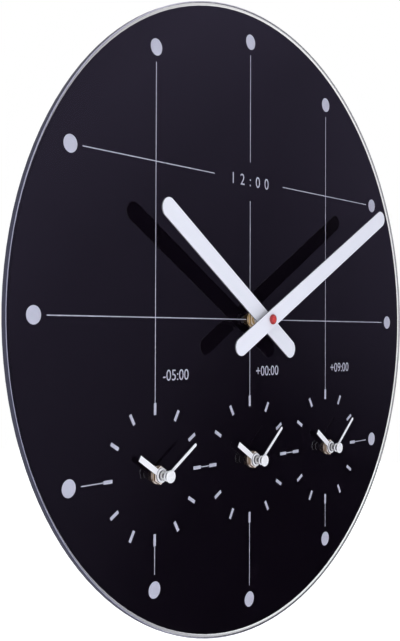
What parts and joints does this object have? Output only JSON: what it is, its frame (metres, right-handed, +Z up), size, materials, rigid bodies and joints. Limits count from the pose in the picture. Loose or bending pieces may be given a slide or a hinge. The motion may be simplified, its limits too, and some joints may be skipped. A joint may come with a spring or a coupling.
{
  "type": "world time wall clock",
  "caption": "Round frameless glass wall clock with large white hands and a row of small second time zone dials, each with its own battery movement behind the glass.",
  "frame": {"origin": "where the axis of the large hands meets the wall, on the back of the large movement", "axes": "+X right as seen from the room, +Y into the wall, +Z up; the dial faces -Y"},
  "size_m": [0.4299, 0.0453, 0.43],
  "materials": {
    "clear_glass": "polished float glass",
    "black_ink": "black ink printed on the back of the glass",
    "pale_ink": "pale ink printed on the back of the glass",
    "white_hand": "white paint in front, dark behind",
    "red_cap": "glossy red",
    "white_cap": "glossy white",
    "brass": "turned",
    "black_plastic": "fine spark-eroded grain",
    "knob_plastic": "moulded",
    "pale_plastic": "moulded acetal",
    "battery_sleeve": "plain printed sleeve",
    "board": "solder mask",
    "copper_winding": "enamelled copper wire",
    "zinc_steel": "zinc plated sheet",
    "spring_steel": "nickel plated sheet",
    "rubber": "matt"
  },
  "bodies": {
    "clock_body": {"battery_contacts": "spring_steel", "black_coat": "black_ink", "centre_battery": "battery_sleeve", "centre_case": "black_plastic", "centre_circuit_board": "board", "centre_motor_coil": "copper_winding", "centre_rear_cover": "black_plastic", "glass_dial": "clear_glass", "grid_lines": "pale_ink", "hanger_bracket": "zinc_steel", "hex_nuts": "brass", "hour_dots": "pale_ink", "left_battery": "battery_sleeve", "left_case": "black_plastic", "left_circuit_board": "board", "left_motor_coil": "copper_winding", "left_rear_cover": "black_plastic", "main_battery": "battery_sleeve", "main_case": "black_plastic", "main_circuit_board": "board", "main_motor_coil": "copper_winding", "main_rear_cover": "black_plastic", "metal_washers": "brass", "right_battery": "battery_sleeve", "right_case": "black_plastic", "right_circuit_board": "board", "right_motor_coil": "copper_winding", "right_rear_cover": "black_plastic", "rubber_washers": "rubber", "shaft_bushes": "brass", "subdial_ticks": "pale_ink"},
    "main_minute": {"main_minute_hand": "white_hand", "main_cannon_pinion": "brass", "main_centre_cap": "red_cap"},
    "main_hour": {"main_hour_hand": "white_hand", "main_hour_wheel": "pale_plastic"},
    "main_setter": {"main_minute_wheel": "pale_plastic", "main_setting_knob": "knob_plastic"},
    "left_minute": {"left_minute_hand": "white_hand", "left_cannon_pinion": "brass", "left_hand_cap": "white_cap"},
    "left_hour": {"left_hour_hand": "white_hand", "left_hour_wheel": "pale_plastic"},
    "left_setter": {"left_minute_wheel": "pale_plastic", "left_setting_knob": "knob_plastic"},
    "centre_minute": {"centre_minute_hand": "white_hand", "centre_cannon_pinion": "brass", "centre_hand_cap": "white_cap"},
    "centre_hour": {"centre_hour_hand": "white_hand", "centre_hour_wheel": "pale_plastic"},
    "centre_setter": {"centre_minute_wheel": "pale_plastic", "centre_setting_knob": "knob_plastic"},
    "right_minute": {"right_minute_hand": "white_hand", "right_cannon_pinion": "brass", "right_hand_cap": "white_cap"},
    "right_hour": {"right_hour_hand": "white_hand", "right_hour_wheel": "pale_plastic"},
    "right_setter": {"right_minute_wheel": "pale_plastic", "right_setting_knob": "knob_plastic"}
  },
  "joints": [
    {"name": "main_minute_turn", "type": "hinge", "parent": "clock_body", "child": "main_minute", "pos_m": [0, 0, 0], "axis": [0, 1, 0], "continuous": true},
    {"name": "main_hour_turn", "type": "hinge", "parent": "clock_body", "child": "main_hour", "pos_m": [0, 0, 0], "axis": [0, 1, 0], "continuous": true},
    {"name": "main_setter_turn", "type": "hinge", "parent": "clock_body", "child": "main_setter", "pos_m": [0, 0, 0.012], "axis": [0, 1, 0], "continuous": true},
    {"name": "left_minute_turn", "type": "hinge", "parent": "clock_body", "child": "left_minute", "pos_m": [-0.097, 0, -0.097], "axis": [0, 1, 0], "continuous": true},
    {"name": "left_hour_turn", "type": "hinge", "parent": "clock_body", "child": "left_hour", "pos_m": [-0.097, 0, -0.097], "axis": [0, 1, 0], "continuous": true},
    {"name": "left_setter_turn", "type": "hinge", "parent": "clock_body", "child": "left_setter", "pos_m": [-0.097, 0, -0.085], "axis": [0, 1, 0], "continuous": true},
    {"name": "centre_minute_turn", "type": "hinge", "parent": "clock_body", "child": "centre_minute", "pos_m": [0, 0, -0.097], "axis": [0, 1, 0], "continuous": true},
    {"name": "centre_hour_turn", "type": "hinge", "parent": "clock_body", "child": "centre_hour", "pos_m": [0, 0, -0.097], "axis": [0, 1, 0], "continuous": true},
    {"name": "centre_setter_turn", "type": "hinge", "parent": "clock_body", "child": "centre_setter", "pos_m": [0, 0, -0.085], "axis": [0, 1, 0], "continuous": true},
    {"name": "right_minute_turn", "type": "hinge", "parent": "clock_body", "child": "right_minute", "pos_m": [0.097, 0, -0.097], "axis": [0, 1, 0], "continuous": true},
    {"name": "right_hour_turn", "type": "hinge", "parent": "clock_body", "child": "right_hour", "pos_m": [0.097, 0, -0.097], "axis": [0, 1, 0], "continuous": true},
    {"name": "right_setter_turn", "type": "hinge", "parent": "clock_body", "child": "right_setter", "pos_m": [0.097, 0, -0.085], "axis": [0, 1, 0], "continuous": true}
  ],
  "couplings": [
    {"joint": "main_hour_turn", "follows": "main_minute_turn", "ratio": 0.083333},
    {"joint": "main_setter_turn", "follows": "main_minute_turn", "ratio": -0.33333},
    {"joint": "left_hour_turn", "follows": "left_minute_turn", "ratio": 0.083333},
    {"joint": "left_setter_turn", "follows": "left_minute_turn", "ratio": -0.33333},
    {"joint": "centre_hour_turn", "follows": "centre_minute_turn", "ratio": 0.083333},
    {"joint": "centre_setter_turn", "follows": "centre_minute_turn", "ratio": -0.33333},
    {"joint": "right_hour_turn", "follows": "right_minute_turn", "ratio": 0.083333},
    {"joint": "right_setter_turn", "follows": "right_minute_turn", "ratio": -0.33333}
  ]
}
